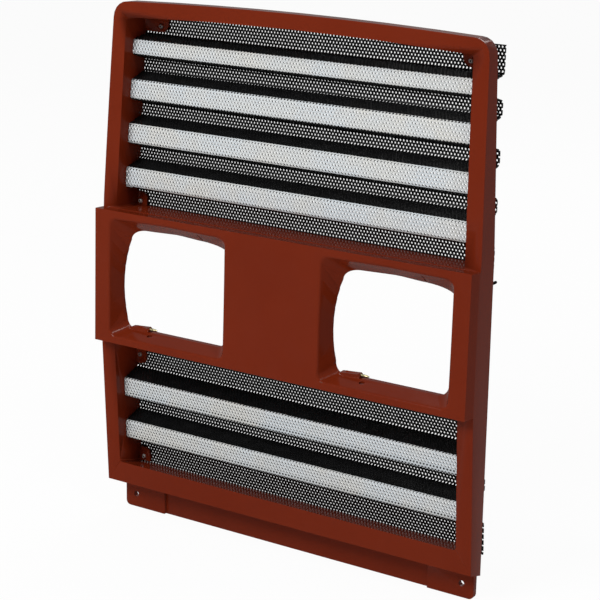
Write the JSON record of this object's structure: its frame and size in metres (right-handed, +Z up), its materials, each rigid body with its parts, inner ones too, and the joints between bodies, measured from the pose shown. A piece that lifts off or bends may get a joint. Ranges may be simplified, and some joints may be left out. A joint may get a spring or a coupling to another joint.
{
  "type": "radiator grille",
  "caption": "Tractor nose grille: moulded shell with a projecting lamp band, two lamp openings, folded perforated sheets in its windows and a lower fixing flange.",
  "frame": {"origin": "rear face of the lower fixing flange, midway between its two fixing holes", "axes": "+Z up along the grille, the front faces -Y, +X to the viewer's right seen from the front"},
  "size_m": [0.6002, 0.0907, 0.7504],
  "materials": {
    "moulding": "glossy red-brown",
    "black_steel": "satin black, crests painted white",
    "bright_zinc": "bright zinc",
    "yellow_zinc": "yellow passivated zinc",
    "black_oxide": "black"
  },
  "bodies": {
    "root": {"shell": "moulding", "upper_mesh": "black_steel", "lower_mesh": "black_steel", "rivet_upper_top_left": "bright_zinc", "rivet_upper_top_right": "bright_zinc", "rivet_upper_sill_left": "bright_zinc", "rivet_upper_sill_right": "bright_zinc", "rivet_lower_top_left": "bright_zinc", "rivet_lower_top_right": "bright_zinc", "rivet_lower_sill_left": "bright_zinc", "rivet_lower_sill_right": "bright_zinc", "lamp_screw_left": "yellow_zinc", "lamp_screw_right": "yellow_zinc", "side_stud_left": "black_oxide", "side_stud_right": "black_oxide"}
  },
  "joints": []
}
